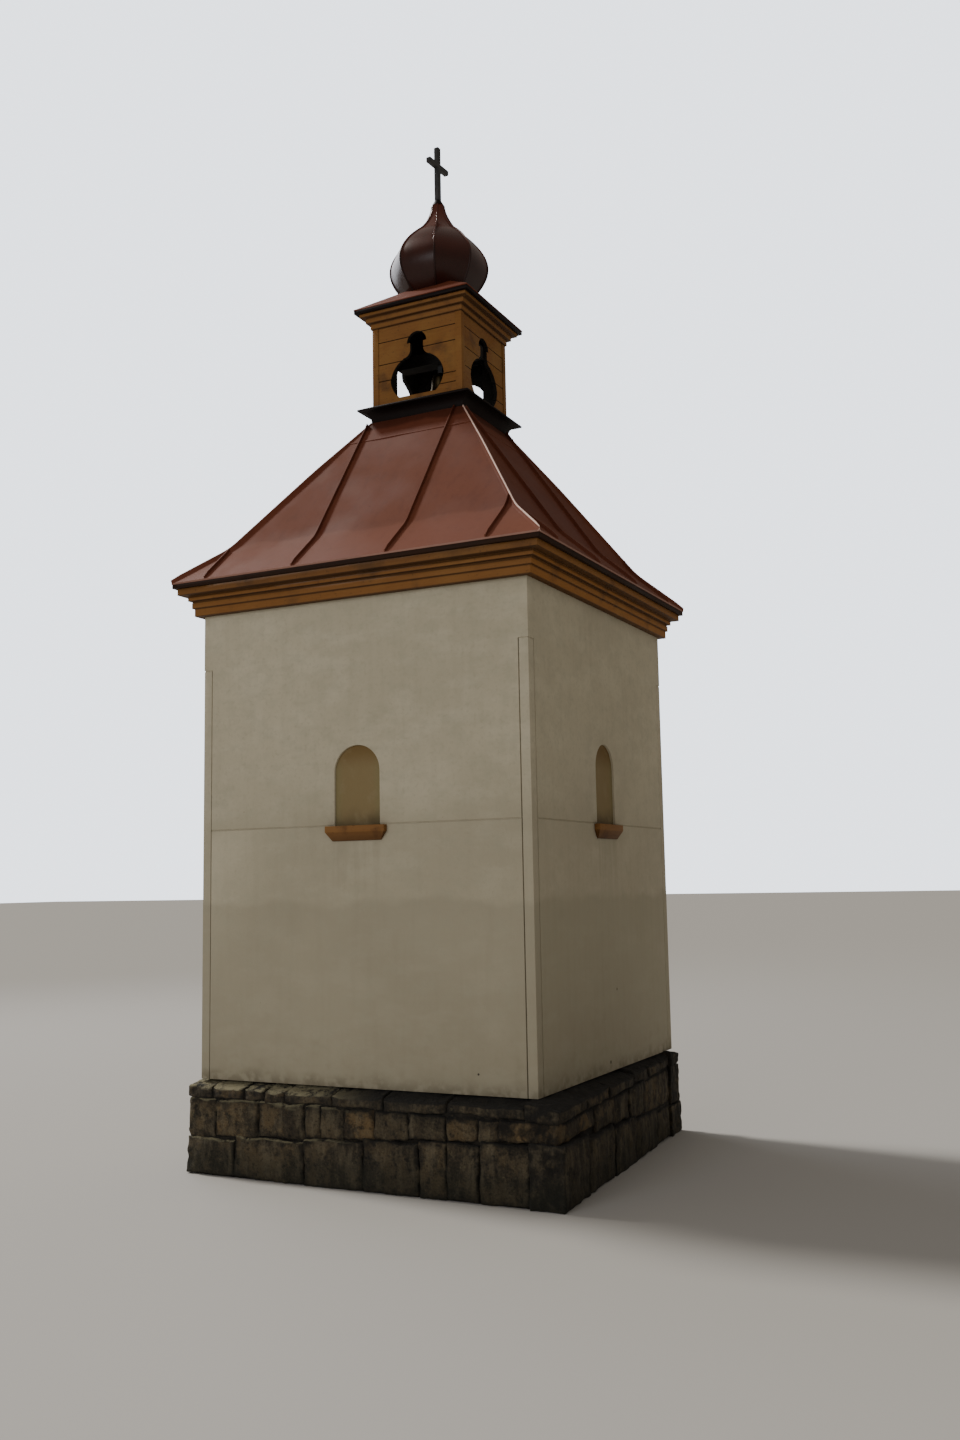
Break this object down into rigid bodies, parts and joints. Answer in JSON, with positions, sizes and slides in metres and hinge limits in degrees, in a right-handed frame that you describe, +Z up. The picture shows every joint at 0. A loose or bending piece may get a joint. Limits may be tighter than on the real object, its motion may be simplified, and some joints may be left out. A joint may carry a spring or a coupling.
{
  "type": "bell tower",
  "caption": "Square plastered bell tower on a stone plinth, with a flared sheet roof, an open boarded lantern with a small bell, an onion dome and a cross.",
  "frame": {"origin": "middle of the footprint on the ground, at the lowest ground", "axes": "+Z up, the front faces -Y and the right side faces +X"},
  "size_m": [2.962, 2.837, 7.6153],
  "materials": {
    "plinth_stone": "rough weathered sandstone",
    "wall_plaster": "matt lime plaster",
    "ochre_render": "matt painted render",
    "ochre_wood": "matt painted boards",
    "bare_wood": "dark weathered boards",
    "roof_sheet": "matt faded paint",
    "dark_sheet": "matt dark paint",
    "dome_sheet": "satin paint",
    "bell_bronze": "worn cast bronze",
    "cross_iron": "matt dark paint"
  },
  "bodies": {
    "root": {"plinth_front": "plinth_stone", "plinth_right": "plinth_stone", "plinth_back": "plinth_stone", "plinth_left": "plinth_stone", "front_wall": "wall_plaster", "right_wall": "wall_plaster", "back_wall": "wall_plaster", "left_wall": "wall_plaster", "corner_strip_front_right": "wall_plaster", "corner_strip_back_right": "wall_plaster", "corner_strip_back_left": "wall_plaster", "corner_strip_front_left": "wall_plaster", "front_sill": "ochre_render", "right_sill": "ochre_render", "back_sill": "ochre_render", "left_sill": "ochre_render", "cornice_front": "ochre_wood", "cornice_right": "ochre_wood", "cornice_back": "ochre_wood", "cornice_left": "ochre_wood", "eaves_drip_edge": "dark_sheet", "roof_front": "roof_sheet", "roof_right": "roof_sheet", "roof_back": "roof_sheet", "roof_left": "roof_sheet", "hip_seams": "roof_sheet", "lantern_skirt": "dark_sheet", "lantern_floor": "bare_wood", "lantern_posts": "bare_wood", "bell_beam": "bare_wood", "bell": "bell_bronze", "lantern_front": "ochre_wood", "lantern_right": "ochre_wood", "lantern_back": "ochre_wood", "lantern_left": "ochre_wood", "lantern_battens": "ochre_wood", "lantern_ceiling": "bare_wood", "lantern_cornice": "ochre_wood", "cap_drip_edge": "dark_sheet", "cap_roof": "roof_sheet", "onion_dome": "dome_sheet", "dome_seams": "dome_sheet", "neck_collar": "dark_sheet", "cross": "cross_iron"}
  },
  "joints": []
}
